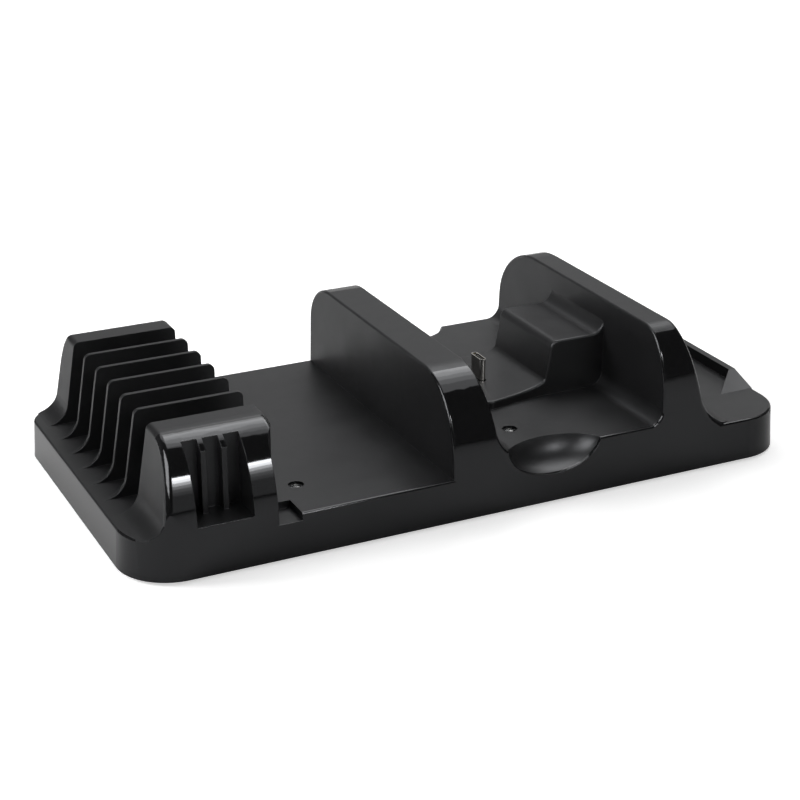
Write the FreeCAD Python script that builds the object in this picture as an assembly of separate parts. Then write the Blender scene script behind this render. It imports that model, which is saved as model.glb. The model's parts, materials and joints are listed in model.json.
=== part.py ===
"""Charging stand: a game case rack, a console dock bay and a controller bay on one hollow plinth.

Everything is drawn in millimetres from the front left corner of the case's underside, with X along
the length, Y to the back and Z up. On export it moves so that the origin is under the middle of the
stand, on the surface that its rubber feet rest on.
"""
import FreeCAD, Part
import math
import os

from FreeCAD import Vector

os.makedirs("parts", exist_ok=True)

# Case
CORNER_RADIUS = 18.3
REAR_CORNER_RADIUS = 11.0
LEAN = math.tan(math.radians(3.5))
WALL = 2.2
FLOOR_WALL = 2.2
RIM_EDGE = 0.8
WALL_EDGE = 0.8
DOCK_FLOOR_Z = 14.7
PAD_FLOOR_Z = 19.4

# Rack for game cases
SLOTS = 6
SLOT_WIDTH = 11.75
FIN_THICK = 1.5
FRONT_TOWER_DEPTH = 27.6
REAR_TOWER_DEPTH = 16.4
RACK_LENGTH = 53.0
RACK_TOP_Z = 43.0
RACK_DECK_Z = 13.4
RACK_TOP_LEFT = 15.5
RACK_WAIST_LEFT = 11.6
RACK_WAIST_Z = 20.0
RACK_SWEEP_LEFT = 4.0
RACK_EDGE = 2.2
RACK_RIGHT_LEAN = 0.4
TOWER_FRONT_REACH = 18.0
TOWER_FRONT_START_Z = 15.4
TOWER_REAR_REACH = 6.0
TOWER_REAR_START_Z = 31.0
NOSE_BLEND_START = 7.0
NOSE_BLEND_END = 18.0
TOWER_CORE_ROOF = 4.5

# Card recess in the front tower
CARD_SLOTS = 3
CARD_SLOT_WIDTH = 5.1
CARD_RIB = 1.85
CARD_RECESS_LEFT = 21.8
CARD_RECESS_BACK = 13.8
CARD_RIB_FRONT = 10.1
CARD_FLOOR_Z = 16.8

# Notch beside the front tower
NOTCH_LEFT = 48.8
NOTCH_WIDTH = 8.0
NOTCH_DEPTH = 11.4
NOTCH_FLOOR_Z = 12.1

# Wall between the dock bay and the controller bay
DOCK_BAY_WIDTH = 58.0
CENTRE_WALL_TOP = 14.3
CENTRE_TOP_Z = 47.6
CENTRE_FRONT_REACH = 21.0
CENTRE_FRONT_START_Z = 20.5
CENTRE_REAR_REACH = 16.0
CENTRE_REAR_START_Z = 33.0
CENTRE_WAIST_OUT = 2.3
CENTRE_WAIST_Z = 28.0
CENTRE_SWEEP = 8.0

# Wall at the right of the controller bay, and the shelf beyond it
PAD_BAY_WIDTH = 66.9
SIDE_WALL_TOP = 10.0
SIDE_TOP_Z = 52.0
SIDE_FRONT_REACH = 13.0
SIDE_FRONT_START_Z = 30.0
SIDE_REAR_REACH = 26.0
SIDE_REAR_START_Z = 30.0
SIDE_FLOOR_FILLET = 5.2
SIDE_SHOULDER = 2.0
SIDE_SLOPE = 0.257
SIDE_WAIST_Z = 26.0
SIDE_SWEEP = 12.0
SHELF_WIDTH = 45.0

# Finger scoops at the front and back of the controller bay
SCOOP_HALF_WIDTH = 18.0
SCOOP_RADIUS = 11.0
SCOOP_RISE = 1.3
SCOOP_OFFSET = 9.4

# Controller seat against the side wall
SEAT_WIDTH = 38.0
SEAT_FLARE = 3.5
SEAT_LEFT = 17.0
SEAT_STEP_RISE = 3.0
SEAT_STEP_RUN = 14.0
SEAT_BEND = 6.0
SEAT_FOOT_LEFT = 23.6
SEAT_FOOT_RISE = 6.2
SEAT_TOP_LEFT = 21.2
SEAT_TOP_RISE = 20.0
SEAT_ROUND = 2.4
SEAT_FILLET = 5.0
SEAT_CORNER = 4.0

# Curb along the right edge of the shelf
CURB_THICK = 2.6
CURB_RISE = 3.9
CURB_START = 24.3
CURB_RAMP = 11.0
CURB_FLARE = 11.0

# Underside: cover, screws and feet
COVER_THICK = 2.0
COVER_GAP = 0.2
FOOT_PROUD = 1.0
FOOT_DIAMETER = 12.0
FOOT_RECESS = 0.8
FOOT_INSET_LEFT = 24.0
FOOT_INSET_RIGHT = 36.0
FOOT_INSET_DEPTH = 12.0
BOSS_DIAMETER = 6.4
BOSS_RACK_X = 20.0
BOSS_RACK_INSET = 34.0
BOSS_DOCK_GAP = 27.0
BOSS_DOCK_INSET = 16.0
BOSS_SHELF_X = 18.0
BOSS_SHELF_INSET = 24.0
SCREW_DIAMETER = 2.6
SCREW_HEAD = 4.8
SCREW_HEAD_DEPTH = 1.2
SCREW_LENGTH = 8.0
SCREW_GAP = 0.2
SCREW_SLOT = 0.3
SCREW_REACH = 1.4

# Charging plug
PLUG_OFFSET = 26.4
PLUG_WIDTH = 8.25
PLUG_THICK = 2.4
PLUG_SKIN = 0.3
PLUG_EXPOSED = 8.2
PLUG_GAP = 0.35
PLUG_BASE_WIDTH = 13.0
PLUG_BASE_THICK = 7.0
PLUG_BASE_ROUND = 1.5
PLUG_CORE_SETBACK = 0.8
PLUG_SLOT_WIDTH = 6.7
PLUG_SLOT_THICK = 0.9
PLUG_SLOT_DEPTH = 5.6
PLUG_CONTACT = 0.3
PLUG_CONTACTS = 6

# Boards
BOARD_THICK = 1.6
BOARD_HOLE_INSET = 3.0
BOARD_SCREW = 2.0
BOARD_SCREW_HEAD = 3.8
BOARD_SCREW_HEAD_DEPTH = 1.2
BOARD_SCREW_LENGTH = 4.2
POST_DIAMETER = 4.6
PLUG_BOARD_LENGTH = 26.0
PLUG_BOARD_DEPTH = 26.0
MAIN_BOARD_LENGTH = 40.0
MAIN_BOARD_DEPTH = 26.0
MAIN_BOARD_Z = 5.0
MAIN_BOARD_RIGHT = 6.0
MAIN_BOARD_BACK = 0.6
LED_BOARD_LENGTH = 7.6
LED_BOARD_DEPTH = 17.0
CHIP_SIZE = 5.0
CHIP_HEIGHT = 1.0
CHIP_PLACE = (12.0, 10.0)
COIL_SIZE = 6.4
COIL_HEIGHT = 3.0
COIL_BEVEL = 1.0
COIL_PLACE = (24.0, 8.0)
CAPACITORS = 3
CAPACITOR_DIAMETER = 3.0
CAPACITOR_HEIGHT = 4.0
CAPACITOR_PITCH = 3.6
CAPACITOR_PLACE = (20.0, 4.0)

# Power inlet in the back of the case
INLET_RIGHT = 11.0
INLET_WIDTH = 8.94
INLET_HEIGHT = 3.2
INLET_DEPTH = 7.4
INLET_SKIN = 0.3
INLET_TONGUE_WIDTH = 6.7
INLET_TONGUE_THICK = 0.7
INLET_TONGUE_LENGTH = 5.4
INLET_TONGUE_SETBACK = 0.8
INLET_GAP = 0.3
INLET_SETBACK = 0.4

# Light dots in the bay floors
DOT_DIAMETER = 5.2
DOT_DEPTH = 0.9
DOT_DOCK_OFFSET = 10.1
DOT_PAD_OFFSET = 17.5
DOT_INSET = 21.2
LENS_DIAMETER = 3.4
LENS_FLANGE = 5.0
LENS_FLANGE_THICK = 1.0
LENS_DOME = 0.7
LENS_GAP = 0.1
LED_SIZE = 1.6
LED_HEIGHT = 0.8
LED_GAP = 0.3

# Flat leads between the boards
LEAD_WIDTH = 5.0
LEAD_THICK = 1.2
LEAD_BEND = 14.0

# Derived sizes
DEPTH = FRONT_TOWER_DEPTH + SLOTS * SLOT_WIDTH + (SLOTS - 1) * FIN_THICK + REAR_TOWER_DEPTH
MIDDLE_Y = DEPTH / 2
CENTRE_LEFT = RACK_LENGTH + DOCK_BAY_WIDTH
CENTRE_RIGHT = CENTRE_LEFT + CENTRE_WALL_TOP
SIDE_LEFT = CENTRE_RIGHT + PAD_BAY_WIDTH
SIDE_RIGHT = SIDE_LEFT + SIDE_WALL_TOP
LENGTH = SIDE_RIGHT + SHELF_WIDTH
PLUG_X = CENTRE_RIGHT + PLUG_OFFSET
SEAT_STEP_Z = PAD_FLOOR_Z + SEAT_STEP_RISE
SEAT_TOP_Z = PAD_FLOOR_Z + SEAT_TOP_RISE
PLUG_BOARD_Z = DOCK_FLOOR_Z - FLOOR_WALL - LENS_FLANGE_THICK - LED_GAP - LED_HEIGHT - BOARD_THICK

# Drawing aids: reach past a cut or joined face, fullness of a round bend, and what counts as a sharp edge
OVERLAP = 1.0
ROUND = 0.5523
SHARP_ANGLE = math.radians(15)
FINE = 0.01


def at(plane, point):
    """Place of a point on a flat drawing, where plane names its two axes, such as xz."""
    place = dict(zip(plane, point))
    return Vector(place.get("x", 0), place.get("y", 0), place.get("z", 0))


def bend_edge(plane, start, corner, end):
    """Round bend that leaves start and reaches end in line with the corner between them."""
    near = [s + ROUND * (c - s) for s, c in zip(start, corner)]
    far = [e + ROUND * (c - e) for e, c in zip(end, corner)]
    curve = Part.BezierCurve()
    curve.setPoles([at(plane, p) for p in (start, near, far, end)])
    return curve.toShape()


def outline(plane, *steps):
    """Face inside a drawn line. A step is a point, or a (corner, point) pair for a round bend."""
    edges = []
    here = steps[0]
    for step in steps[1:] + steps[:1]:
        if isinstance(step[0], tuple):
            corner, there = step
            edges.append(bend_edge(plane, here, corner, there))
        else:
            there = step
            edges.append(Part.LineSegment(at(plane, here), at(plane, there)).toShape())
        here = there
    return Part.Face(Part.Wire(edges))


def prism(face, axis, low, high):
    """Solid that the face sweeps along an axis from low to high."""
    step = Vector(axis == "x", axis == "y", axis == "z")
    moved = face.copy()
    moved.translate(step * low)
    return moved.extrude(step * (high - low))


def block(x0, x1, y0, y1, z0, z1):
    return Part.makeBox(x1 - x0, y1 - y0, z1 - z0, Vector(x0, y0, z0))


def rod(x, y, z0, z1, diameter):
    return Part.makeCylinder(diameter / 2, z1 - z0, Vector(x, y, z0))


def fuse(shapes):
    return shapes[0].multiFuse(shapes[1:]).removeSplitter()


def group(shapes):
    return Part.makeCompound(shapes)


def sharp_edges(shape, low):
    """Outside corners that rise above low, where two faces meet at a clear angle."""
    found = []
    for edge in shape.Edges:
        sides = shape.ancestorsOfType(edge, Part.Face)
        if edge.Degenerated or len(sides) != 2 or edge.BoundBox.ZMax < low + FINE:
            continue
        middle = edge.valueAt((edge.FirstParameter + edge.LastParameter) / 2)
        first, second = [face.normalAt(*face.Surface.parameter(middle)) for face in sides]
        outside = (sides[0].CenterOfMass - middle).dot(second) < 0
        if outside and first.getAngle(second) > SHARP_ANGLE:
            found.append(edge)
    return found


def rounded(shape, radius, low):
    return shape.makeFillet(radius, sharp_edges(shape, low))


def rounded_plan(inset, z):
    """Rounded rectangle of the case, drawn in by inset, at height z."""
    arcs = []
    for sx, sy in ((1, -1), (1, 1), (-1, 1), (-1, -1)):
        radius = (CORNER_RADIUS if sy < 0 else REAR_CORNER_RADIUS) - inset
        turn = radius * math.sqrt(0.5)
        cx = LENGTH / 2 + sx * (LENGTH / 2 - inset - radius)
        cy = MIDDLE_Y + sy * (MIDDLE_Y - inset - radius)
        ends = [Vector(cx, cy + sy * radius, z), Vector(cx + sx * radius, cy, z)]
        if sx * sy > 0:
            ends.reverse()
        arcs.append((ends[0], Vector(cx + sx * turn, cy + sy * turn, z), ends[1]))
    edges = []
    for index, (first, middle, last) in enumerate(arcs):
        edges.append(Part.Arc(first, middle, last).toShape())
        following = arcs[(index + 1) % len(arcs)][0]
        edges.append(Part.LineSegment(last, following).toShape())
    return Part.Wire(edges)


def plinth(inset, z0, z1):
    """Case body with leaning sides between two heights, drawn in by inset."""
    low = rounded_plan(inset + LEAN * z0, z0)
    high = rounded_plan(inset + LEAN * z1, z1)
    return Part.makeLoft([low, high], True, True)


def front_face(z, inset=0.0):
    return inset + LEAN * z


def back_face(z, inset=0.0):
    return DEPTH - inset - LEAN * z


def side_view(top, front_reach, front_start, rear_reach, rear_start, inset=0.0):
    """Front to back outline of a wall: leaning faces that round over to a level top."""
    roof = top - inset
    front = front_face(roof, inset)
    back = back_face(roof, inset)
    return outline(
        "yz",
        (front_face(0, inset), 0),
        (back_face(0, inset), 0),
        (back_face(rear_start, inset), rear_start),
        ((back, roof), (back - rear_reach, roof)),
        (front + front_reach, roof),
        ((front, roof), (front_face(front_start, inset), front_start)),
    )


def slab(x0, x1, top, inset=0.0):
    """Level floor with the case's leaning front and back."""
    face = outline(
        "yz",
        (front_face(0, inset), 0),
        (back_face(0, inset), 0),
        (back_face(top, inset), top),
        (front_face(top, inset), top),
    )
    return prism(face, "x", x0, x1)


def centre_wall(inset=0.0):
    """Wall between the dock bay and the controller bay, with a swept foot on the controller side."""
    left = CENTRE_LEFT + inset
    right = CENTRE_RIGHT - inset
    top = CENTRE_TOP_Z - inset
    floor = PAD_FLOOR_Z - inset
    slope = CENTRE_WAIST_OUT / (CENTRE_TOP_Z - CENTRE_WAIST_Z)
    waist = right + CENTRE_WAIST_OUT
    foot = waist + slope * (CENTRE_WAIST_Z - floor)
    end = waist + CENTRE_SWEEP
    section = outline(
        "xz",
        (left, 0),
        (left, top),
        (right, top),
        (waist, CENTRE_WAIST_Z),
        ((foot, floor), (end, floor)),
        (end, 0),
    )
    view = side_view(CENTRE_TOP_Z, CENTRE_FRONT_REACH, CENTRE_FRONT_START_Z,
                     CENTRE_REAR_REACH, CENTRE_REAR_START_Z, inset)
    body = prism(section, "y", 0, DEPTH).common(prism(view, "x", left - OVERLAP, end + OVERLAP))
    return body if inset else rounded(body, WALL_EDGE, PAD_FLOOR_Z)


def side_face(z, inset=0.0):
    """Sloping right face of the side wall at height z."""
    return SIDE_RIGHT - inset + SIDE_SLOPE * (SIDE_TOP_Z - z)


def side_wall(inset=0.0):
    """Tall wall at the right of the controller bay, filleted to its floor and swept to the shelf."""
    left = SIDE_LEFT + inset
    top = SIDE_TOP_Z - inset
    floor = PAD_FLOOR_Z - inset
    shelf = DOCK_FLOOR_Z - inset
    end = side_face(SIDE_WAIST_Z, inset) + SIDE_SWEEP
    section = outline(
        "xz",
        (left - SIDE_FLOOR_FILLET, 0),
        (left - SIDE_FLOOR_FILLET, floor),
        ((left, floor), (left, floor + SIDE_FLOOR_FILLET)),
        (left, top),
        (side_face(top, inset), top),
        (side_face(SIDE_WAIST_Z, inset), SIDE_WAIST_Z),
        ((side_face(shelf, inset), shelf), (end, shelf)),
        (end, 0),
    )
    view = side_view(SIDE_TOP_Z, SIDE_FRONT_REACH, SIDE_FRONT_START_Z,
                     SIDE_REAR_REACH, SIDE_REAR_START_Z, inset)
    span = prism(view, "x", left - SIDE_FLOOR_FILLET - OVERLAP, end + OVERLAP)
    body = prism(section, "y", 0, DEPTH).common(span)
    if inset:
        return body
    edges = sharp_edges(body, PAD_FLOOR_Z)
    body = body.makeFillet(SIDE_SHOULDER, [edge for edge in edges if edge.BoundBox.XMin > left])
    return rounded(body, WALL_EDGE, PAD_FLOOR_Z)


def seat(inset=0.0):
    """Stepped support for the controller: a low flared step, then a tall block against the wall."""
    wall = SIDE_LEFT
    left = CENTRE_RIGHT + SEAT_LEFT + inset
    step = SEAT_STEP_Z - inset
    foot = (wall - SEAT_FOOT_LEFT + inset, PAD_FLOOR_Z + SEAT_FOOT_RISE - inset)
    top = SEAT_TOP_Z - inset
    edge = wall - SEAT_TOP_LEFT + inset
    flat = wall - SEAT_FOOT_LEFT - SEAT_STEP_RUN
    inner = wall + SIDE_WALL_TOP / 2
    slope = (edge - foot[0]) / (top - foot[1])
    section = outline(
        "xz",
        (left, 0),
        (left, step),
        (flat, step),
        ((foot[0] - slope * (foot[1] - step), step), foot),
        (edge - slope * SEAT_ROUND, top - SEAT_ROUND),
        ((edge, top), (edge + SEAT_ROUND, top)),
        (wall - SEAT_FILLET, top),
        ((wall, top), (wall, top + SEAT_FILLET)),
        (inner, top + SEAT_FILLET),
        (inner, 0),
    )
    half = SEAT_WIDTH / 2 - inset
    wide = half + SEAT_FLARE
    bend = foot[0] - SEAT_BEND
    near = bend + SEAT_BEND
    far = bend - SEAT_BEND
    flare = SEAT_FLARE * SEAT_BEND / (bend - left - SEAT_CORNER)
    plan = outline(
        "xy",
        (inner, MIDDLE_Y - half),
        (inner, MIDDLE_Y + half),
        (near, MIDDLE_Y + half),
        ((bend, MIDDLE_Y + half), (far, MIDDLE_Y + half + flare)),
        (left + SEAT_CORNER, MIDDLE_Y + wide),
        ((left, MIDDLE_Y + wide), (left, MIDDLE_Y + wide - SEAT_CORNER)),
        (left, MIDDLE_Y - wide + SEAT_CORNER),
        ((left, MIDDLE_Y - wide), (left + SEAT_CORNER, MIDDLE_Y - wide)),
        (far, MIDDLE_Y - half - flare),
        ((bend, MIDDLE_Y - half), (near, MIDDLE_Y - half)),
    )
    body = prism(section, "y", 0, DEPTH).common(prism(plan, "z", 0, top + SEAT_FILLET + OVERLAP))
    return body if inset else rounded(body, WALL_EDGE, PAD_FLOOR_Z)


def fin_front(index):
    """Front face of the fin behind case slot number index, counted from the front."""
    return FRONT_TOWER_DEPTH + SLOT_WIDTH + index * (SLOT_WIDTH + FIN_THICK)


def rack():
    """Front tower, fins and rear tower that share one swept outline."""
    right_top = RACK_LENGTH - RACK_RIGHT_LEAN
    lean = RACK_RIGHT_LEAN / (RACK_TOP_Z - RACK_DECK_Z)
    slope = (RACK_TOP_LEFT - RACK_WAIST_LEFT) / (RACK_TOP_Z - RACK_WAIST_Z)
    foot = RACK_WAIST_LEFT - slope * (RACK_WAIST_Z - RACK_DECK_Z)
    section = outline(
        "xz",
        (right_top + lean * RACK_TOP_Z, 0),
        (right_top, RACK_TOP_Z),
        (RACK_TOP_LEFT, RACK_TOP_Z),
        (RACK_WAIST_LEFT, RACK_WAIST_Z),
        ((foot, RACK_DECK_Z), (RACK_SWEEP_LEFT, RACK_DECK_Z)),
        (RACK_SWEEP_LEFT, 0),
    )
    view = side_view(RACK_TOP_Z, TOWER_FRONT_REACH, TOWER_FRONT_START_Z,
                     TOWER_REAR_REACH, TOWER_REAR_START_Z)
    body = prism(section, "y", 0, DEPTH)
    body = body.common(prism(view, "x", 0, RACK_LENGTH + OVERLAP))
    body = rounded(body, RACK_EDGE, RACK_DECK_Z).common(plinth(0, 0, RACK_TOP_Z + OVERLAP))
    slots = []
    for index in range(SLOTS):
        back = fin_front(index)
        slots.append(block(0, RACK_LENGTH + OVERLAP, back - SLOT_WIDTH, back,
                           RACK_DECK_Z, RACK_TOP_Z + OVERLAP))
    return body.cut(group(slots)).cut(tower_corner()).cut(card_recess())


def tower_corner():
    """Waste beside the front tower's nose, which is set back to the notch and blends out behind it."""
    right = RACK_LENGTH
    outer = right + OVERLAP
    third = (NOSE_BLEND_END - NOSE_BLEND_START) / 4
    middle = ((NOTCH_LEFT + right) / 2, (NOSE_BLEND_START + NOSE_BLEND_END) / 2)
    waste = outline(
        "xy",
        (NOTCH_LEFT, -OVERLAP),
        (NOTCH_LEFT, NOSE_BLEND_START),
        ((NOTCH_LEFT, NOSE_BLEND_START + third), middle),
        ((right, NOSE_BLEND_END - third), (right, NOSE_BLEND_END)),
        (outer, NOSE_BLEND_END),
        (outer, -OVERLAP),
    )
    return prism(waste, "z", DOCK_FLOOR_Z, RACK_TOP_Z + OVERLAP)


def card_recess(grow=0.0):
    """Space for the cards: an open front with narrow slots behind it."""
    roof = RACK_TOP_Z + OVERLAP
    width = CARD_SLOTS * CARD_SLOT_WIDTH + (CARD_SLOTS - 1) * CARD_RIB
    right = CARD_RECESS_LEFT + width
    if grow:
        return block(CARD_RECESS_LEFT - grow, right + grow, 0, CARD_RECESS_BACK + grow,
                     CARD_FLOOR_Z - grow, roof)
    spaces = [block(CARD_RECESS_LEFT, right, -OVERLAP, CARD_RIB_FRONT, CARD_FLOOR_Z, roof)]
    for index in range(CARD_SLOTS):
        x = CARD_RECESS_LEFT + index * (CARD_SLOT_WIDTH + CARD_RIB)
        spaces.append(block(x, x + CARD_SLOT_WIDTH, 0, CARD_RECESS_BACK, CARD_FLOOR_Z, roof))
    return fuse(spaces)


def notch(grow=0.0):
    return block(NOTCH_LEFT - grow, NOTCH_LEFT + NOTCH_WIDTH + grow, -OVERLAP, NOTCH_DEPTH + grow,
                 NOTCH_FLOOR_Z - grow, DOCK_FLOOR_Z + OVERLAP)


def scoops(grow=0.0):
    """Egg-shaped finger dishes through the front and back edges of the controller bay."""
    middle = (CENTRE_RIGHT + SIDE_LEFT) / 2 - SCOOP_OFFSET
    pair = []
    for y in (0, DEPTH):
        ball = Part.makeSphere(1.0)
        size = FreeCAD.Matrix()
        size.scale(SCOOP_HALF_WIDTH + grow, SCOOP_RADIUS + grow, SCOOP_RADIUS + grow)
        dish = ball.transformGeometry(size)
        dish.translate(Vector(middle, y, PAD_FLOOR_Z + SCOOP_RISE))
        pair.append(dish)
    return group(pair)


def curb():
    """Low rim along the right edge that ends in two ramps, with a channel between it and the wall."""
    top = DOCK_FLOOR_Z + CURB_RISE
    low = DOCK_FLOOR_Z - OVERLAP
    inside = LENGTH - front_face(top) - CURB_THICK
    flare = inside - CURB_FLARE
    ramp_end = CURB_START + CURB_RAMP
    plan = outline(
        "xy",
        (LENGTH, CURB_START),
        (LENGTH, DEPTH - CURB_START),
        (flare, DEPTH - CURB_START),
        (inside, DEPTH - ramp_end),
        (inside, ramp_end),
        (flare, CURB_START),
    )
    view = outline(
        "yz",
        (CURB_START, low),
        (DEPTH - CURB_START, low),
        (DEPTH - CURB_START, DOCK_FLOOR_Z),
        (DEPTH - ramp_end, top),
        (ramp_end, top),
        (CURB_START, DOCK_FLOOR_Z),
    )
    body = prism(plan, "z", low, top + OVERLAP).common(prism(view, "x", flare, LENGTH))
    return body.common(plinth(0, 0, top + OVERLAP))


def boss_places():
    """Case screws: x, y and the ceiling that each boss hangs from."""
    rack_ceiling = RACK_DECK_Z - FLOOR_WALL
    ceiling = DOCK_FLOOR_Z - FLOOR_WALL
    rows = [(BOSS_RACK_X, BOSS_RACK_INSET, rack_ceiling),
            (CENTRE_LEFT - BOSS_DOCK_GAP, BOSS_DOCK_INSET, ceiling),
            (LENGTH - BOSS_SHELF_X, BOSS_SHELF_INSET, ceiling)]
    return [(x, y, z) for x, inset, z in rows for y in (inset, DEPTH - inset)]


def dot_boards():
    """Light dots: x, y and the floor height of each, in the dock bay and the controller bay."""
    return {
        "dock": (RACK_LENGTH + DOT_DOCK_OFFSET, DOT_INSET, DOCK_FLOOR_Z),
        "pad": (CENTRE_RIGHT + DOT_PAD_OFFSET, DOT_INSET, PAD_FLOOR_Z),
    }


def led_board_top(floor):
    return floor - FLOOR_WALL - LENS_FLANGE_THICK - LED_GAP - LED_HEIGHT


def led_board_holes(x, y):
    """Screw places of a light board, one each side of its light along the board."""
    reach = LED_BOARD_DEPTH / 2 - BOARD_HOLE_INSET
    return [(x, y - reach), (x, y + reach)]


def plug_board_holes():
    dx = PLUG_BOARD_LENGTH / 2 - BOARD_HOLE_INSET
    dy = PLUG_BOARD_DEPTH / 2 - BOARD_HOLE_INSET
    return [(PLUG_X + sx * dx, MIDDLE_Y + sy * dy) for sx in (-1, 1) for sy in (-1, 1)]


def main_board_span():
    """Plan of the main board: x0, x1, y0 and y1."""
    x1 = SIDE_LEFT - MAIN_BOARD_RIGHT
    y1 = back_face(MAIN_BOARD_Z, WALL) - MAIN_BOARD_BACK
    return x1 - MAIN_BOARD_LENGTH, x1, y1 - MAIN_BOARD_DEPTH, y1


def main_board_holes():
    x0, x1, y0, y1 = main_board_span()
    inset = BOARD_HOLE_INSET
    return [(x, y) for x in (x0 + inset, x1 - inset) for y in (y0 + inset, y1 - inset)]


def cavity():
    """Hollow underside of the moulded housing, a wall's thickness inside its outer form."""
    ceiling = DOCK_FLOOR_Z - FLOOR_WALL
    rack_ceiling = RACK_DECK_Z - FLOOR_WALL
    hollow = plinth(WALL, 0, ceiling)
    hollow = hollow.cut(block(0, RACK_LENGTH, 0, DEPTH, rack_ceiling, ceiling + OVERLAP))
    spaces = [
        hollow,
        slab(CENTRE_RIGHT, SIDE_LEFT, PAD_FLOOR_Z - FLOOR_WALL, WALL),
        centre_wall(WALL),
        side_wall(WALL),
        seat(WALL),
        front_tower_core(),
        rear_tower_core(),
    ]
    return fuse(spaces).cut(scoops(WALL)).cut(card_recess(WALL)).cut(notch(FLOOR_WALL))


def front_tower_core():
    return block(RACK_TOP_LEFT + WALL, RACK_LENGTH - WALL - RIM_EDGE,
                 CARD_RECESS_BACK + WALL, FRONT_TOWER_DEPTH - WALL,
                 0, RACK_TOP_Z - TOWER_CORE_ROOF)


def rear_tower_core():
    back = back_face(RACK_TOP_Z) - TOWER_REAR_REACH
    return block(RACK_TOP_LEFT + WALL, RACK_LENGTH - WALL - RIM_EDGE,
                 DEPTH - REAR_TOWER_DEPTH + WALL, back,
                 0, RACK_TOP_Z - TOWER_CORE_ROOF)


def housing_posts():
    """Screw bosses for the cover and posts for the boards, with their pilot holes."""
    posts = []
    pilots = []
    for x, y, ceiling in boss_places():
        posts.append(rod(x, y, COVER_THICK, ceiling + FLOOR_WALL / 2, BOSS_DIAMETER))
        pilots.append(rod(x, y, 0, COVER_THICK + SCREW_LENGTH, SCREW_DIAMETER + SCREW_GAP))
    for x, y, floor in dot_boards().values():
        top = led_board_top(floor)
        for hx, hy in led_board_holes(x, y):
            posts.append(rod(hx, hy, top, floor - FLOOR_WALL / 2, POST_DIAMETER))
            pilots.append(rod(hx, hy, top, top + board_screw_bite(), BOARD_SCREW + SCREW_GAP))
    top = PLUG_BOARD_Z + BOARD_THICK
    for x, y in plug_board_holes():
        under_step = x > CENTRE_RIGHT + SEAT_LEFT + WALL
        floor = SEAT_STEP_Z if under_step else PAD_FLOOR_Z
        posts.append(rod(x, y, top, floor - WALL / 2, POST_DIAMETER))
        pilots.append(rod(x, y, top, top + board_screw_bite(), BOARD_SCREW + SCREW_GAP))
    return posts, pilots


def board_screw_bite():
    """Depth that a board screw reaches past its board."""
    return BOARD_SCREW_LENGTH - BOARD_THICK


def racetrack(width, thick, x, y):
    """Plug section with round ends: wide along Y, thick along X."""
    radius = thick / 2
    reach = width / 2 - radius
    edges = [
        Part.LineSegment(Vector(x - radius, y - reach, 0), Vector(x - radius, y + reach, 0)).toShape(),
        Part.Arc(Vector(x - radius, y + reach, 0), Vector(x, y + reach + radius, 0),
                 Vector(x + radius, y + reach, 0)).toShape(),
        Part.LineSegment(Vector(x + radius, y + reach, 0), Vector(x + radius, y - reach, 0)).toShape(),
        Part.Arc(Vector(x + radius, y - reach, 0), Vector(x, y - reach - radius, 0),
                 Vector(x - radius, y - reach, 0)).toShape(),
    ]
    return Part.Face(Part.Wire(edges))


def plug_prism(shrink, z0, z1):
    face = racetrack(PLUG_WIDTH - 2 * shrink, PLUG_THICK - 2 * shrink, PLUG_X, MIDDLE_Y)
    return prism(face, "z", z0, z1)


def inlet_x():
    return main_board_span()[1] - INLET_RIGHT


def inlet_z():
    return MAIN_BOARD_Z + BOARD_THICK + INLET_HEIGHT / 2


def inlet_prism(grow, y0, y1):
    """Inlet section with round ends, swept along Y."""
    face = racetrack(INLET_WIDTH + 2 * grow, INLET_HEIGHT + 2 * grow, 0, 0)
    face.rotate(Vector(0, 0, 0), Vector(0, 0, 1), 90)
    face.rotate(Vector(0, 0, 0), Vector(1, 0, 0), 90)
    face.translate(Vector(inlet_x(), 0, inlet_z()))
    return prism(face, "y", y0, y1)


def inlet_mouth():
    return back_face(inlet_z()) - INLET_SETBACK


def top_housing():
    """One moulding: plinth, rack, walls, seat and curb over a hollow underside."""
    bays = rounded(plinth(0, 0, DOCK_FLOOR_Z), RIM_EDGE, DOCK_FLOOR_Z - RIM_EDGE)
    bays = bays.common(block(RACK_LENGTH, LENGTH, 0, DEPTH, 0, DOCK_FLOOR_Z))
    deck = rounded(plinth(0, 0, RACK_DECK_Z), RIM_EDGE, RACK_DECK_Z - RIM_EDGE)
    deck = deck.common(block(0, RACK_LENGTH, 0, DEPTH, 0, RACK_DECK_Z))
    floor = rounded(slab(CENTRE_RIGHT, SIDE_LEFT, PAD_FLOOR_Z), RIM_EDGE, PAD_FLOOR_Z - RIM_EDGE)
    body = fuse([bays, deck, floor, centre_wall(), side_wall(), seat(), rack(), curb()])
    body = body.cut(scoops()).cut(notch())
    body = body.cut(cavity())
    posts, pilots = housing_posts()
    body = fuse([body] + posts)
    openings = list(pilots)
    for x, y, floor_z in dot_boards().values():
        openings.append(rod(x, y, floor_z - DOT_DEPTH, floor_z + OVERLAP, DOT_DIAMETER))
        openings.append(rod(x, y, floor_z - FLOOR_WALL - OVERLAP, floor_z, LENS_DIAMETER + 2 * LENS_GAP))
    openings.append(plug_prism(-PLUG_GAP, SEAT_STEP_Z - WALL - OVERLAP, SEAT_STEP_Z + OVERLAP))
    openings.append(inlet_prism(INLET_GAP, inlet_mouth() - INLET_DEPTH, DEPTH + OVERLAP))
    return body.cut(group(openings))


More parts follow.
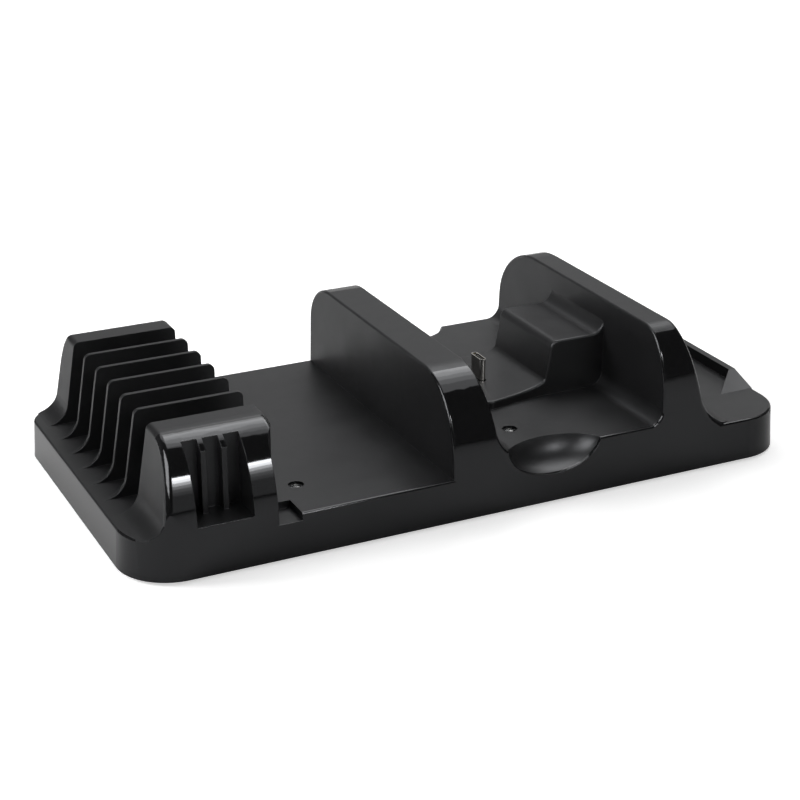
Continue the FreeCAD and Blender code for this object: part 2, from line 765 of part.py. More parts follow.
def cover_holes():
    spaces = []
    for x, y, ceiling in boss_places():
        spaces.append(rod(x, y, -OVERLAP, COVER_THICK + OVERLAP, SCREW_DIAMETER + SCREW_GAP))
        spaces.append(rod(x, y, -OVERLAP, SCREW_HEAD_DEPTH, SCREW_HEAD + SCREW_GAP))
    for x, y in foot_places().values():
        spaces.append(rod(x, y, -OVERLAP, FOOT_RECESS, FOOT_DIAMETER))
    return spaces


def bottom_cover():
    """Flat cover inside the rim of the housing, with posts for the main board."""
    body = plinth(WALL + COVER_GAP, 0, COVER_THICK)
    posts = [rod(x, y, COVER_THICK / 2, MAIN_BOARD_Z, POST_DIAMETER) for x, y in main_board_holes()]
    body = fuse([body] + posts)
    depth = MAIN_BOARD_Z - board_screw_bite()
    pilots = [rod(x, y, depth, MAIN_BOARD_Z, BOARD_SCREW + SCREW_GAP) for x, y in main_board_holes()]
    return body.cut(group(cover_holes() + pilots))


def foot_places():
    xs = {"left": FOOT_INSET_LEFT, "right": LENGTH - FOOT_INSET_RIGHT}
    ys = {"front": FOOT_INSET_DEPTH, "rear": DEPTH - FOOT_INSET_DEPTH}
    return {f"foot_{row}_{side}": (x, y) for row, y in ys.items() for side, x in xs.items()}


def foot(x, y):
    """Rubber disc with a bevelled lower edge, stuck in its recess."""
    bevel = FOOT_PROUD / 2
    disc = rod(x, y, bevel - FOOT_PROUD, FOOT_RECESS, FOOT_DIAMETER)
    skirt = Part.makeCone(FOOT_DIAMETER / 2 - bevel, FOOT_DIAMETER / 2, bevel, Vector(x, y, -FOOT_PROUD))
    return fuse([disc, skirt])


def case_screw(x, y):
    """Pan head screw driven up from below."""
    head = rod(x, y, 0, SCREW_HEAD_DEPTH, SCREW_HEAD)
    shank = rod(x, y, 0, SCREW_LENGTH, SCREW_DIAMETER)
    cross = group([block(x - a, x + a, y - b, y + b, -OVERLAP, SCREW_HEAD_DEPTH / 2)
                   for a, b in ((SCREW_SLOT, SCREW_REACH), (SCREW_REACH, SCREW_SLOT))])
    return fuse([head, shank]).cut(cross)


def board_screw(x, y, seat_z, direction):
    """Small screw with its head on seat_z and its shank in the given direction along Z."""
    head = rod(x, y, -BOARD_SCREW_HEAD_DEPTH, 0, BOARD_SCREW_HEAD)
    shank = rod(x, y, 0, BOARD_SCREW_LENGTH, BOARD_SCREW)
    screw = fuse([head, shank])
    if direction < 0:
        screw.rotate(Vector(x, y, 0), Vector(1, 0, 0), 180)
    screw.translate(Vector(0, 0, seat_z))
    return screw


def board_screws():
    screws = [board_screw(x, y, PLUG_BOARD_Z, 1) for x, y in plug_board_holes()]
    screws += [board_screw(x, y, MAIN_BOARD_Z + BOARD_THICK, -1) for x, y in main_board_holes()]
    for x, y, floor in dot_boards().values():
        seat_z = led_board_top(floor) - BOARD_THICK
        screws += [board_screw(hx, hy, seat_z, 1) for hx, hy in led_board_holes(x, y)]
    return group(screws)


def board(x0, x1, y0, y1, z, holes):
    """Circuit board with its screw holes."""
    drilled = [rod(x, y, z - OVERLAP, z + BOARD_THICK + OVERLAP, BOARD_SCREW + SCREW_GAP) for x, y in holes]
    return block(x0, x1, y0, y1, z, z + BOARD_THICK).cut(group(drilled))


def main_board():
    return board(*main_board_span(), MAIN_BOARD_Z, main_board_holes())


def plug_board():
    dx = PLUG_BOARD_LENGTH / 2
    dy = PLUG_BOARD_DEPTH / 2
    return board(PLUG_X - dx, PLUG_X + dx, MIDDLE_Y - dy, MIDDLE_Y + dy, PLUG_BOARD_Z, plug_board_holes())


def led_board(x, y, floor):
    dx = LED_BOARD_LENGTH / 2
    dy = LED_BOARD_DEPTH / 2
    z = led_board_top(floor) - BOARD_THICK
    return board(x - dx, x + dx, y - dy, y + dy, z, led_board_holes(x, y))


def led_chip(x, y, floor):
    half = LED_SIZE / 2
    z = led_board_top(floor)
    return block(x - half, x + half, y - half, y + half, z, z + LED_HEIGHT)


def dot_lens(x, y, floor):
    """Clear plug for a light dot: a flange under the floor, a stem and a low dome in the recess."""
    ceiling = floor - FLOOR_WALL
    radius = LENS_DIAMETER / 2
    rim = floor - DOT_DEPTH
    profile = outline(
        "xz",
        (0, ceiling - LENS_FLANGE_THICK),
        (LENS_FLANGE / 2, ceiling - LENS_FLANGE_THICK),
        (LENS_FLANGE / 2, ceiling),
        (radius, ceiling),
        (radius, rim),
        ((radius, rim + LENS_DOME), (0, rim + LENS_DOME)),
    )
    lens = profile.revolve(Vector(0, 0, 0), Vector(0, 0, 1), 360)
    lens.translate(Vector(x, y, 0))
    return lens


def plug_shell():
    """Drawn metal tube of the plug, open at its mouth."""
    base = PLUG_BOARD_Z + BOARD_THICK
    tube = plug_prism(0, base, plug_top()).cut(plug_prism(PLUG_SKIN, base, plug_top() + OVERLAP))
    return tube


def plug_top():
    return SEAT_STEP_Z + PLUG_EXPOSED


def plug_insert():
    """Moulded core of the plug with the slot that takes the socket's tongue."""
    base = PLUG_BOARD_Z + BOARD_THICK
    core = plug_prism(PLUG_SKIN, base, plug_top() - PLUG_CORE_SETBACK)
    half = PLUG_SLOT_THICK / 2
    reach = PLUG_SLOT_WIDTH / 2
    slot = block(PLUG_X - half, PLUG_X + half, MIDDLE_Y - reach, MIDDLE_Y + reach,
                 plug_top() - PLUG_SLOT_DEPTH, plug_top() + OVERLAP)
    return core.cut(slot)


def plug_contacts():
    """Rows of spring contacts on both sides of the plug's slot."""
    z1 = plug_top() - PLUG_CORE_SETBACK - PLUG_CONTACT
    z0 = plug_top() - PLUG_SLOT_DEPTH
    pitch = PLUG_SLOT_WIDTH / PLUG_CONTACTS
    half = PLUG_SLOT_THICK / 2
    strips = []
    for side in (-1, 1):
        outer = PLUG_X + side * half
        inner = outer - side * PLUG_CONTACT / 2
        for index in range(PLUG_CONTACTS):
            y = MIDDLE_Y + (index - (PLUG_CONTACTS - 1) / 2) * pitch
            strips.append(block(min(inner, outer), max(inner, outer),
                                y - PLUG_CONTACT, y + PLUG_CONTACT, z0, z1))
    return group(strips)


def plug_base():
    """Moulded block that holds the plug upright between its board and the seat."""
    base = PLUG_BOARD_Z + BOARD_THICK
    top = SEAT_STEP_Z - WALL
    dx = PLUG_BASE_THICK / 2
    dy = PLUG_BASE_WIDTH / 2
    body = block(PLUG_X - dx, PLUG_X + dx, MIDDLE_Y - dy, MIDDLE_Y + dy, base, top)
    upright = [edge for edge in body.Edges if abs(edge.tangentAt(edge.FirstParameter).z) > 0.9]
    body = body.makeFillet(PLUG_BASE_ROUND, upright)
    return body.cut(plug_prism(0, base - OVERLAP, top + OVERLAP))


def inlet_shell():
    """Folded metal shell of the power inlet, open to the back."""
    y1 = inlet_mouth()
    y0 = y1 - INLET_DEPTH
    return inlet_prism(0, y0, y1).cut(inlet_prism(-INLET_SKIN, y0 - OVERLAP, y1 + OVERLAP))


def inlet_core():
    """Moulded back of the inlet with its contact tongue."""
    y1 = inlet_mouth()
    y0 = y1 - INLET_DEPTH
    root = inlet_prism(-INLET_SKIN, y0, y1 - INLET_TONGUE_LENGTH)
    half = INLET_TONGUE_THICK / 2
    reach = INLET_TONGUE_WIDTH / 2
    tongue = block(inlet_x() - reach, inlet_x() + reach, y0, y1 - INLET_TONGUE_SETBACK,
                   inlet_z() - half, inlet_z() + half)
    return fuse([root, tongue])


def charge_chip():
    x0, x1, y0, y1 = main_board_span()
    z = MAIN_BOARD_Z + BOARD_THICK
    x = x0 + CHIP_PLACE[0]
    y = y0 + CHIP_PLACE[1]
    return block(x, x + CHIP_SIZE, y, y + CHIP_SIZE, z, z + CHIP_HEIGHT)


def power_coil():
    """Shielded coil with bevelled corners."""
    x0, x1, y0, y1 = main_board_span()
    z = MAIN_BOARD_Z + BOARD_THICK
    x = x0 + COIL_PLACE[0]
    y = y0 + COIL_PLACE[1]
    body = block(x, x + COIL_SIZE, y, y + COIL_SIZE, z, z + COIL_HEIGHT)
    upright = [edge for edge in body.Edges if abs(edge.tangentAt(edge.FirstParameter).z) > 0.9]
    return body.makeChamfer(COIL_BEVEL, upright)


def filter_capacitors():
    x0, x1, y0, y1 = main_board_span()
    z = MAIN_BOARD_Z + BOARD_THICK
    cans = []
    for index in range(CAPACITORS):
        x = x0 + CAPACITOR_PLACE[0] + index * CAPACITOR_PITCH
        cans.append(rod(x, y0 + CAPACITOR_PLACE[1], z, z + CAPACITOR_HEIGHT, CAPACITOR_DIAMETER))
    return group(cans)


def rising_lead(x, y0, z0, y1, z1):
    """Flat lead along Y that joins two board edges at different heights with an easy S bend."""
    half = LEAD_THICK / 2
    middle = (y0 + y1) / 2
    quarter = (y1 - y0) / 4
    level = (z0 + z1) / 2
    face = outline(
        "yz",
        (y0, z0 - half),
        ((y0 + quarter, z0 - half), (middle, level - half)),
        ((y1 - quarter, z1 - half), (y1, z1 - half)),
        (y1, z1 + half),
        ((y1 - quarter, z1 + half), (middle, level + half)),
        ((y0 + quarter, z0 + half), (y0, z0 + half)),
    )
    return prism(face, "x", x - LEAD_WIDTH / 2, x + LEAD_WIDTH / 2)


def plug_lead():
    """Lead from the back of the plug board to the front of the main board."""
    y0 = MIDDLE_Y + PLUG_BOARD_DEPTH / 2
    y1 = main_board_span()[2]
    middle = BOARD_THICK / 2
    return rising_lead(PLUG_X, y0, PLUG_BOARD_Z + middle, y1, MAIN_BOARD_Z + middle)


def pad_light_lead():
    """Lead from the controller bay's light board to the front of the plug board."""
    x, y, floor = dot_boards()["pad"]
    y0 = y + LED_BOARD_DEPTH / 2
    y1 = MIDDLE_Y - PLUG_BOARD_DEPTH / 2
    middle = BOARD_THICK / 2
    return rising_lead(x, y0, led_board_top(floor) - middle, y1, PLUG_BOARD_Z + middle)


def dock_light_lead():
    """Lead from the dock bay's light board, round one bend, to the left edge of the plug board."""
    x, y, floor = dot_boards()["dock"]
    start = y + LED_BOARD_DEPTH / 2
    end = PLUG_X - PLUG_BOARD_LENGTH / 2
    half = LEAD_WIDTH / 2
    outer = (x - half, MIDDLE_Y + half)
    inner = (x + half, MIDDLE_Y - half)
    face = outline(
        "xy",
        (x + half, start),
        (x + half, MIDDLE_Y - half - LEAD_BEND),
        (inner, (x + half + LEAD_BEND, MIDDLE_Y - half)),
        (end, MIDDLE_Y - half),
        (end, MIDDLE_Y + half),
        (x + half + LEAD_BEND, MIDDLE_Y + half),
        (outer, (x - half, MIDDLE_Y - half - LEAD_BEND)),
        (x - half, start),
    )
    low = PLUG_BOARD_Z + (BOARD_THICK - LEAD_THICK) / 2
    return prism(face, "z", low, low + LEAD_THICK)


def save(name, shape):
    """Moves a finished piece to the stand's own frame and writes it."""
    placed = shape.copy()
    placed.translate(Vector(-LENGTH / 2, -MIDDLE_Y, FOOT_PROUD))
    placed.exportStep(f"parts/{name}.step")
    bad = [solid for solid in placed.Solids if not solid.isValid()]
    print(f"{name:20s} solids {len(placed.Solids):3d}  volume {placed.Volume:10.1f}  bad {len(bad)}")


def main():
    save("top_housing", top_housing())
    save("bottom_cover", bottom_cover())
    save("case_screws", group([case_screw(x, y) for x, y, ceiling in boss_places()]))
    for name, (x, y) in foot_places().items():
        save(name, foot(x, y))
    save("main_board", main_board())
    save("plug_board", plug_board())
    save("board_screws", board_screws())
    save("plug_shell", plug_shell())
    save("plug_insert", plug_insert())
    save("plug_contacts", plug_contacts())
    save("plug_base", plug_base())
    save("inlet_shell", inlet_shell())
    save("inlet_core", inlet_core())
    save("charge_chip", charge_chip())
    save("power_coil", power_coil())
    save("filter_capacitors", filter_capacitors())
    save("plug_lead", plug_lead())
    save("pad_light_lead", pad_light_lead())
    save("dock_light_lead", dock_light_lead())
    for bay, place in dot_boards().items():
        save(f"{bay}_light_lens", dot_lens(*place))
        save(f"{bay}_light_chip", led_chip(*place))
        save(f"{bay}_light_board", led_board(*place))


main()
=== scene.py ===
"""Looks of a black charging stand with a case rack, a dock bay and a controller bay, in studio light."""
import json
import math

import bpy
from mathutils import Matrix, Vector

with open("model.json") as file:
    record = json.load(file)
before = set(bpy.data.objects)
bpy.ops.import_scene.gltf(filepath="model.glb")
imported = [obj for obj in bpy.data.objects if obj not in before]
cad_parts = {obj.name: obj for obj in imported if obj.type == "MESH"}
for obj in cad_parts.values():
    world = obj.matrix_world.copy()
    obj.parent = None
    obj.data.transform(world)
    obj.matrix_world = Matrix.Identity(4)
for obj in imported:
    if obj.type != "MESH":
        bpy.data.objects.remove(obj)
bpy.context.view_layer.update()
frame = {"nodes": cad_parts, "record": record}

MM = 0.001
WHITE = (1.0, 1.0, 1.0, 1.0)

# Where the case is polished, in millimetres from the middle of its underside
WALL_GLOSS_Y = -42.3
BAY_GLOSS_Y = -59.1
SIDE_GLOSS_Y = -50.0
BAY_START_X = 6.0
SIDE_START_X = 63.0
RECESS_Y = -56.0
DISH_INNER_Y = 48.0
DISH_TOP_Z = 20.2
BACK_GLOSS_Y = 38.0
END_GLOSS_X = 112.0
END_GLOSS_Z = 14.0

# How far a polished face has to turn to the front or back, the top or an end
GLOSS_TURN = 0.06
CURVE_TURN = 0.25
END_TURN = 0.3

# Case plastic: tones, sheen, roughness, and the share of polish in the scoops
CASE_DARK = (0.006, 0.006, 0.0065)
CASE_LIGHT = (0.010, 0.010, 0.0105)
CASE_SHEEN = 0.4
CASE_SHEEN_TINT = (0.95, 0.965, 1.0, 1.0)
SATIN_ROUGHNESS = (0.40, 0.48)
POLISH_ROUGHNESS = (0.045, 0.08)
DISH_GLOSS = 0.12

# Relief of the case in millimetres: its grain, and the radius that softens the shading of its edges
CASE_GRAIN = 0.03
CASE_EDGE = 0.3
EDGE_SAMPLES = 4
GRAIN_STRENGTH = 0.5

# Lens: share of light that passes, refraction, tones and roughness
LENS_CLEARNESS = 0.9
LENS_IOR = 1.49
LENS_DARK = (0.30, 0.31, 0.32)
LENS_LIGHT = (0.38, 0.39, 0.40)
LENS_ROUGHNESS = (0.05, 0.12)

# Noise: features per metre, steps of detail, and the range of its value that is spread over a finish
CASE_CLOUD_SCALE = 60.0
CASE_GRAIN_SCALE = 4200.0
CASE_WIPE_SCALE = 22.0
PLAIN_CLOUD_SCALE = 180.0
LENS_CLOUD_SCALE = 900.0
FLOOR_CLOUD_SCALE = 3.0
CLOUD_DETAIL = 3.0
GRAIN_DETAIL = 2.0
WIPE_DETAIL = 5.0
CLOUD_RANGE = (0.3, 0.7)
WIPE_RANGE = (0.35, 0.75)

# Floor and room: sizes in metres, light as shares of full white
FLOOR_SIZE = 6.0
FLOOR_DARK = (0.92, 0.92, 0.92)
FLOOR_LIGHT = (0.94, 0.94, 0.94)
FLOOR_SHEEN = 0.1
FLOOR_ROUGHNESS = (0.8, 0.9)
FLOOR_REACH = (0.4, 0.9)
FLOOR_GLOW = (0.6, 1.0)
AMBIENT = 0.08
BACKDROP_EDGE = (0.1, 0.5)
BACKDROP_GLOW = (0.09, 0.15)

# High strip lamps, from the back to the front: place along y in metres, power in watts
TOP_STRIPS = ((0.55, 0.9), (0.40, 1.7), (0.25, 1.4), (0.10, 0.85), (-0.05, 0.35))
TOP_STRIP_X = 0.4
TOP_STRIP_Z = 0.93
TOP_STRIP_LEAN = 0.05
TOP_STRIP_SIZE = (0.8, 0.15)

# Strip lamps in front of the tower, from high to low: rise in degrees, height in metres, power in watts
FRONT_STRIPS = ((32.5, 0.05, 1.4), (29.4, 0.05, 1.0), (26.3, 0.05, 0.4), (23.2, 0.05, 0.15),
                (20.1, 0.05, 0.06), (17.0, 0.05, 0.035), (8.0, 0.24, 0.08))
FRONT_STRIP_WIDTH = 0.24
FRONT_STRIP_WAY = (0.327, -0.945)
FRONT_STRIP_DISTANCE = 0.92
TOWER_PLACE = (-0.09, -0.05, 0.03)

# Camera: metres, degrees and millimetres
CAMERA_PLACE = (-0.2707, -0.5520, 0.2783)
CAMERA_TILT = 67.17
CAMERA_TURN = -25.84
CAMERA_LENS = 84.04
CAMERA_SENSOR = 36.0


def new_material(name):
    """New node material and its shader."""
    material = bpy.data.materials.new(name)
    material.use_nodes = True
    shader = material.node_tree.nodes["Principled BSDF"]
    return material, shader


def add(tree, kind, **values):
    """New node of a kind, with its settings and its unlinked inputs set by name."""
    node = tree.nodes.new(kind)
    for key, value in values.items():
        if key in node.inputs:
            node.inputs[key].default_value = value
        else:
            setattr(node, key, value)
    return node


def feed(tree, socket, value):
    """Sets an input to a number, or links another node's output to it."""
    if isinstance(value, (int, float)):
        socket.default_value = value
    else:
        tree.links.new(value, socket)


def math_node(tree, operation, first, second):
    """Math node on two values, each a number or a socket."""
    node = add(tree, "ShaderNodeMath", operation=operation)
    feed(tree, node.inputs[0], first)
    feed(tree, node.inputs[1], second)
    return node.outputs[0]


def noise(tree, scale, detail=CLOUD_DETAIL):
    """Noise value in the object's own coordinates; scale counts features per metre."""
    place = add(tree, "ShaderNodeTexCoord")
    node = add(tree, "ShaderNodeTexNoise", Scale=scale, Detail=detail)
    tree.links.new(place.outputs["Object"], node.inputs["Vector"])
    return node.outputs["Fac"]


def spread(tree, value, low, high, to_low, to_high):
    """Linear change of a value from one range to another, held at its ends."""
    node = add(tree, "ShaderNodeMapRange")
    tree.links.new(value, node.inputs["Value"])
    limits = (("From Min", low), ("From Max", high), ("To Min", to_low), ("To Max", to_high))
    for name, number in limits:
        node.inputs[name].default_value = number
    return node.outputs["Result"]


def mix_values(tree, share, first, second):
    """First value where share is 0, second where it is 1."""
    node = add(tree, "ShaderNodeMix")
    tree.links.new(share, node.inputs["Factor"])
    feed(tree, node.inputs["A"], first)
    feed(tree, node.inputs["B"], second)
    return node.outputs["Result"]


def tint(tree, value, dark, light):
    """Colour between two tones by a value from 0 to 1."""
    node = add(tree, "ShaderNodeMix", data_type="RGBA")
    tree.links.new(value, node.inputs["Factor"])
    node.inputs["A"].default_value = (*dark, 1.0)
    node.inputs["B"].default_value = (*light, 1.0)
    return node.outputs["Result"]


def bump(tree, height, distance, edge=0.0):
    """Normal with a fine relief; where a radius is given, the shading of edges is softened over it."""
    node = add(tree, "ShaderNodeBump", Strength=GRAIN_STRENGTH, Distance=distance)
    tree.links.new(height, node.inputs["Height"])
    if edge:
        soft = add(tree, "ShaderNodeBevel", samples=EDGE_SAMPLES, Radius=edge)
        tree.links.new(soft.outputs["Normal"], node.inputs["Normal"])
    return node.outputs["Normal"]


def link(tree, shader, **sockets):
    """Links sockets to the shader's inputs; an underscore in a name stands for a space."""
    for name, socket in sockets.items():
        tree.links.new(socket, shader.inputs[name.replace("_", " ")])


def front_limit(tree, x):
    """How far back the polish of the front reaches: over the wall tops, but not into the controller bay."""
    bay = math_node(tree, "MULTIPLY",
                    math_node(tree, "GREATER_THAN", x, BAY_START_X * MM),
                    (BAY_GLOSS_Y - WALL_GLOSS_Y) * MM)
    side = math_node(tree, "MULTIPLY",
                     math_node(tree, "GREATER_THAN", x, SIDE_START_X * MM),
                     (SIDE_GLOSS_Y - BAY_GLOSS_Y) * MM)
    return math_node(tree, "ADD", WALL_GLOSS_Y * MM, math_node(tree, "ADD", bay, side))


def dish(tree, x, y, z):
    """1 in the finger scoops, which sit below the floor at the front and back of the controller bay."""
    beside = math_node(tree, "MULTIPLY",
                       math_node(tree, "GREATER_THAN", x, BAY_START_X * MM),
                       math_node(tree, "LESS_THAN", x, SIDE_START_X * MM))
    outward = math_node(tree, "ABSOLUTE", y, 0.0)
    between = math_node(tree, "MULTIPLY",
                        math_node(tree, "LESS_THAN", outward, -BAY_GLOSS_Y * MM),
                        math_node(tree, "GREATER_THAN", outward, DISH_INNER_Y * MM))
    low = math_node(tree, "LESS_THAN", z, DISH_TOP_Z * MM)
    return math_node(tree, "MULTIPLY", beside, math_node(tree, "MULTIPLY", between, low))


def gloss_mask(tree):
    """1 on the polished skin of the case (front, back, ends), a little in the scoops, 0 on the satin bays."""
    geometry = add(tree, "ShaderNodeNewGeometry")
    place = add(tree, "ShaderNodeSeparateXYZ")
    turn = add(tree, "ShaderNodeSeparateXYZ")
    tree.links.new(geometry.outputs["Position"], place.inputs[0])
    tree.links.new(geometry.outputs["Normal"], turn.inputs[0])
    x, y, z = place.outputs
    facing_x, facing_y, facing_z = turn.outputs
    front = math_node(tree, "MULTIPLY",
                      math_node(tree, "LESS_THAN", facing_y, -GLOSS_TURN),
                      math_node(tree, "LESS_THAN", y, front_limit(tree, x)))
    curved = math_node(tree, "MAXIMUM",
                       math_node(tree, "LESS_THAN", y, RECESS_Y * MM),
                       math_node(tree, "GREATER_THAN", facing_z, CURVE_TURN))
    front = math_node(tree, "MULTIPLY", front, curved)
    back = math_node(tree, "MULTIPLY",
                     math_node(tree, "GREATER_THAN", facing_y, GLOSS_TURN),
                     math_node(tree, "GREATER_THAN", y, BACK_GLOSS_Y * MM))
    outward = math_node(tree, "MULTIPLY", facing_x, math_node(tree, "SIGN", x, 0.0))
    distance = math_node(tree, "ABSOLUTE", x, 0.0)
    at_end = math_node(tree, "MULTIPLY",
                       math_node(tree, "GREATER_THAN", distance, END_GLOSS_X * MM),
                       math_node(tree, "LESS_THAN", z, END_GLOSS_Z * MM))
    end = math_node(tree, "MULTIPLY", math_node(tree, "GREATER_THAN", outward, END_TURN), at_end)
    skin = math_node(tree, "MAXIMUM", math_node(tree, "MAXIMUM", front, back), end)
    scoops = math_node(tree, "MULTIPLY", dish(tree, x, y, z), DISH_GLOSS)
    return math_node(tree, "MAXIMUM", skin, scoops)


def case_plastic():
    """Black moulding, polished on its outer skin and finely spark-eroded in the bays."""
    material, shader = new_material("case_plastic")
    tree = material.node_tree
    shader.inputs["Specular IOR Level"].default_value = CASE_SHEEN
    shader.inputs["Specular Tint"].default_value = CASE_SHEEN_TINT
    gloss = gloss_mask(tree)
    cloud = noise(tree, CASE_CLOUD_SCALE)
    grain = noise(tree, CASE_GRAIN_SCALE, GRAIN_DETAIL)
    wipe = noise(tree, CASE_WIPE_SCALE, WIPE_DETAIL)
    satin = spread(tree, cloud, *CLOUD_RANGE, *SATIN_ROUGHNESS)
    polish = spread(tree, wipe, *WIPE_RANGE, *POLISH_ROUGHNESS)
    height = math_node(tree, "MULTIPLY", grain, math_node(tree, "SUBTRACT", 1.0, gloss))
    link(tree, shader,
         Base_Color=tint(tree, cloud, CASE_DARK, CASE_LIGHT),
         Roughness=mix_values(tree, gloss, satin, polish),
         Normal=bump(tree, height, CASE_GRAIN * MM, CASE_EDGE * MM))
    return material


def textured(name, dark, light, rough, grain_scale, grain_height, metallic=0.0):
    """Surface with a little drift in tone and roughness and a fine grain, its height in millimetres."""
    material, shader = new_material(name)
    tree = material.node_tree
    shader.inputs["Metallic"].default_value = metallic
    cloud = noise(tree, PLAIN_CLOUD_SCALE)
    grain = noise(tree, grain_scale, GRAIN_DETAIL)
    link(tree, shader,
         Base_Color=tint(tree, cloud, dark, light),
         Roughness=spread(tree, cloud, *CLOUD_RANGE, *rough),
         Normal=bump(tree, grain, grain_height * MM))
    return material


def lens_glass():
    """Smoked moulded lens over a light."""
    material, shader = new_material("lens")
    tree = material.node_tree
    shader.inputs["Transmission Weight"].default_value = LENS_CLEARNESS
    shader.inputs["IOR"].default_value = LENS_IOR
    cloud = noise(tree, LENS_CLOUD_SCALE)
    link(tree, shader,
         Base_Color=tint(tree, cloud, LENS_DARK, LENS_LIGHT),
         Roughness=spread(tree, cloud, *CLOUD_RANGE, *LENS_ROUGHNESS))
    return material


def plastic_and_rubber():
    """Finishes of the moulded pieces."""
    return {
        "case_plastic": case_plastic(),
        "cover_plastic": textured("cover_plastic", (0.014, 0.014, 0.015), (0.022, 0.022, 0.023),
                                  rough=(0.5, 0.62), grain_scale=2600.0, grain_height=0.04),
        "foot_rubber": textured("foot_rubber", (0.012, 0.012, 0.012), (0.02, 0.02, 0.02),
                                rough=(0.72, 0.86), grain_scale=1800.0, grain_height=0.05),
        "resin": textured("resin", (0.014, 0.014, 0.015), (0.024, 0.024, 0.025),
                          rough=(0.45, 0.6), grain_scale=1500.0, grain_height=0.02),
        "lens": lens_glass(),
        "lead_sleeve": textured("lead_sleeve", (0.42, 0.42, 0.43), (0.55, 0.55, 0.56),
                                rough=(0.5, 0.65), grain_scale=1500.0, grain_height=0.02),
    }


def metal_and_boards():
    """Finishes of the metal pieces and of the electronics."""
    return {
        "screw_steel": textured("screw_steel", (0.42, 0.42, 0.43), (0.55, 0.55, 0.56),
                                rough=(0.28, 0.4), grain_scale=2200.0, grain_height=0.01, metallic=1.0),
        "nickel": textured("nickel", (0.70, 0.68, 0.64), (0.82, 0.80, 0.76),
                           rough=(0.10, 0.18), grain_scale=2600.0, grain_height=0.004, metallic=1.0),
        "contact_gold": textured("contact_gold", (0.75, 0.55, 0.2), (0.85, 0.65, 0.3),
                                 rough=(0.18, 0.3), grain_scale=2000.0, grain_height=0.005, metallic=1.0),
        "can": textured("can", (0.62, 0.62, 0.63), (0.74, 0.74, 0.75),
                        rough=(0.25, 0.35), grain_scale=1800.0, grain_height=0.006, metallic=1.0),
        "board": textured("board", (0.02, 0.10, 0.045), (0.03, 0.15, 0.06),
                          rough=(0.3, 0.45), grain_scale=900.0, grain_height=0.02),
        "ferrite": textured("ferrite", (0.08, 0.08, 0.085), (0.13, 0.13, 0.14),
                            rough=(0.6, 0.75), grain_scale=1500.0, grain_height=0.03),
        "light_chip": textured("light_chip", (0.75, 0.72, 0.55), (0.9, 0.87, 0.7),
                               rough=(0.35, 0.5), grain_scale=1200.0, grain_height=0.01),
    }


def dress_case():
    """Gives every CAD node the finish of its slot."""
    finishes = {**plastic_and_rubber(), **metal_and_boards()}
    for part in frame["record"]["subparts"]:
        slots = frame["nodes"][part["node"]].data.materials
        slots.clear()
        slots.append(finishes[part["material_slot"]])


def camera_sees(tree, path):
    """1 for a ray from the camera, also after it has passed a lens."""
    return math_node(tree, "MAXIMUM", path.outputs["Is Camera Ray"], path.outputs["Is Transmission Ray"])


def studio_floor():
    """Wide floor that keeps the stand's shadow and turns to plain white for the camera away from it."""
    bpy.ops.mesh.primitive_plane_add(size=FLOOR_SIZE, location=(0, 0, 0))
    floor = bpy.context.object
    floor.name = "studio_floor"
    material, shader = new_material("studio_floor")
    tree = material.node_tree
    shader.inputs["Specular IOR Level"].default_value = FLOOR_SHEEN
    shader.inputs["Emission Color"].default_value = WHITE
    cloud = noise(tree, FLOOR_CLOUD_SCALE)
    seen = camera_sees(tree, add(tree, "ShaderNodeLightPath"))
    geometry = add(tree, "ShaderNodeNewGeometry")
    away = add(tree, "ShaderNodeVectorMath", operation="LENGTH")
    tree.links.new(geometry.outputs["Position"], away.inputs[0])
    glow = spread(tree, away.outputs["Value"], *FLOOR_REACH, *FLOOR_GLOW)
    link(tree, shader,
         Base_Color=tint(tree, cloud, FLOOR_DARK, FLOOR_LIGHT),
         Roughness=spread(tree, cloud, *CLOUD_RANGE, *FLOOR_ROUGHNESS),
         Emission_Strength=math_node(tree, "MULTIPLY", seen, glow))
    floor.data.materials.append(material)


def studio_world():
    """White to the camera; mirrors see a pale backdrop behind the stand and a dark room in front of it."""
    world = bpy.data.worlds.new("studio")
    bpy.context.scene.world = world
    world.use_nodes = True
    tree = world.node_tree
    sky = tree.nodes["Background"]
    sky.inputs["Color"].default_value = WHITE
    path = add(tree, "ShaderNodeLightPath")
    seen = camera_sees(tree, path)
    toward = add(tree, "ShaderNodeTexCoord")
    axes = add(tree, "ShaderNodeSeparateXYZ")
    tree.links.new(toward.outputs["Generated"], axes.inputs[0])
    room = spread(tree, axes.outputs["Y"], *BACKDROP_EDGE, *BACKDROP_GLOW)
    soft = mix_values(tree, path.outputs["Is Glossy Ray"], AMBIENT, room)
    tree.links.new(mix_values(tree, seen, soft, 1.0), sky.inputs["Strength"])


def softbox(name, place, target, size, power, diffuse=False, mirrored=True):
    """Rectangular lamp that faces a target; it may light rough surfaces, show in reflections, or both."""
    lamp = bpy.data.lights.new(name, "AREA")
    lamp.shape = "RECTANGLE"
    lamp.size, lamp.size_y = size
    lamp.energy = power
    body = bpy.data.objects.new(name, lamp)
    bpy.context.scene.collection.objects.link(body)
    body.location = place
    body.visible_diffuse = diffuse
    body.visible_glossy = mirrored
    toward = Vector(target) - Vector(place)
    body.rotation_euler = toward.to_track_quat("-Z", "Y").to_euler()


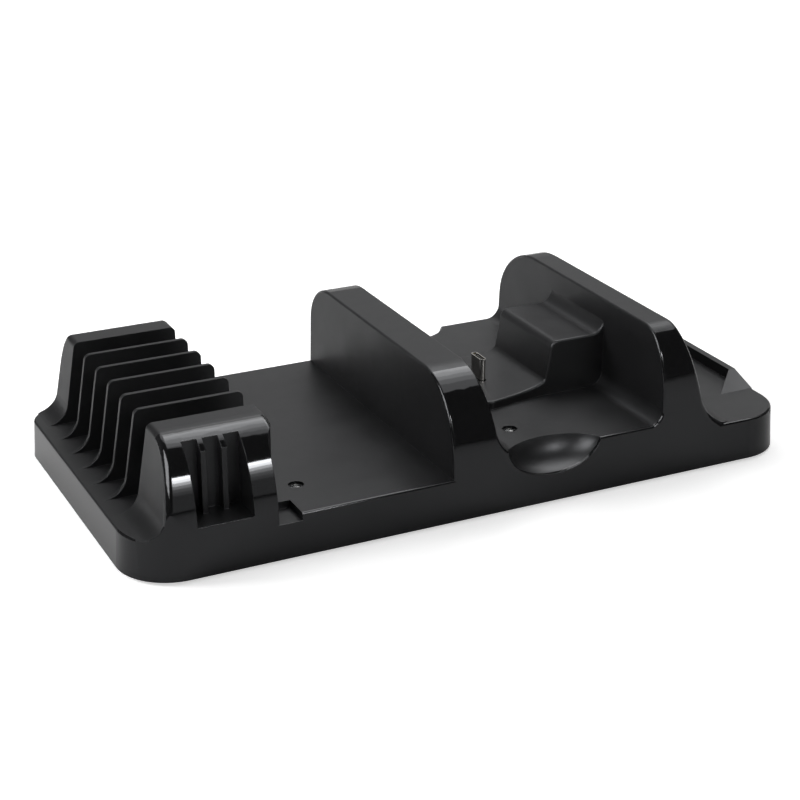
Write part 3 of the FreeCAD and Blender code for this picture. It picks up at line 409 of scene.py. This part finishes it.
def top_strips():
    """High row of lamps that grows weaker to the front, for graded reflections on the polished curves."""
    for step, (y, power) in enumerate(TOP_STRIPS):
        place = (TOP_STRIP_X, y, TOP_STRIP_Z)
        target = (TOP_STRIP_X, y - TOP_STRIP_LEAN, 0.0)
        softbox(f"top_strip_{step + 1}", place, target, TOP_STRIP_SIZE, power)


def front_strips():
    """Stack of lamps in front of the rack's tower that fades downward, as the highlight on the tower does."""
    tower = Vector(TOWER_PLACE)
    x, y = FRONT_STRIP_WAY
    for step, (angle, height, power) in enumerate(FRONT_STRIPS):
        rise = math.radians(angle)
        toward = Vector((x * math.cos(rise), y * math.cos(rise), math.sin(rise)))
        place = tower + FRONT_STRIP_DISTANCE * toward
        softbox(f"front_box_{step + 1}", place, tower, (FRONT_STRIP_WIDTH, height), power)


def studio_lights():
    """Large high lamp, strips for the highlights, and lamps at the back and the left."""
    softbox("top_box", place=(0.35, 0.42, 0.95), target=(0.30, 0.37, 0.0),
            size=(1.3, 1.1), power=7.5, diffuse=True)
    top_strips()
    softbox("back_strip", place=(0.17, 0.30, 0.11), target=(-0.01, 0.0, 0.02),
            size=(0.7, 0.10), power=0.12)
    front_strips()
    softbox("edge_box", place=(-0.75, -0.38, 0.66), target=(0.0, -0.03, 0.03),
            size=(0.75, 0.75), power=14.0)
    softbox("left_box", place=(-1.0, 0.55, 0.55), target=(-0.13, 0.0, 0.0),
            size=(0.6, 0.5), power=13.2, diffuse=True, mirrored=False)


def studio_camera():
    """Camera fitted to the straight edges of the stand in the photo."""
    data = bpy.data.cameras.new("camera")
    data.sensor_width = CAMERA_SENSOR
    data.lens = CAMERA_LENS
    camera = bpy.data.objects.new("camera", data)
    bpy.context.scene.collection.objects.link(camera)
    camera.location = CAMERA_PLACE
    camera.rotation_euler = (math.radians(CAMERA_TILT), 0.0, math.radians(CAMERA_TURN))
    bpy.context.scene.camera = camera


dress_case()
studio_floor()
studio_world()
studio_lights()
studio_camera()
bpy.context.scene.view_settings.view_transform = "Standard"
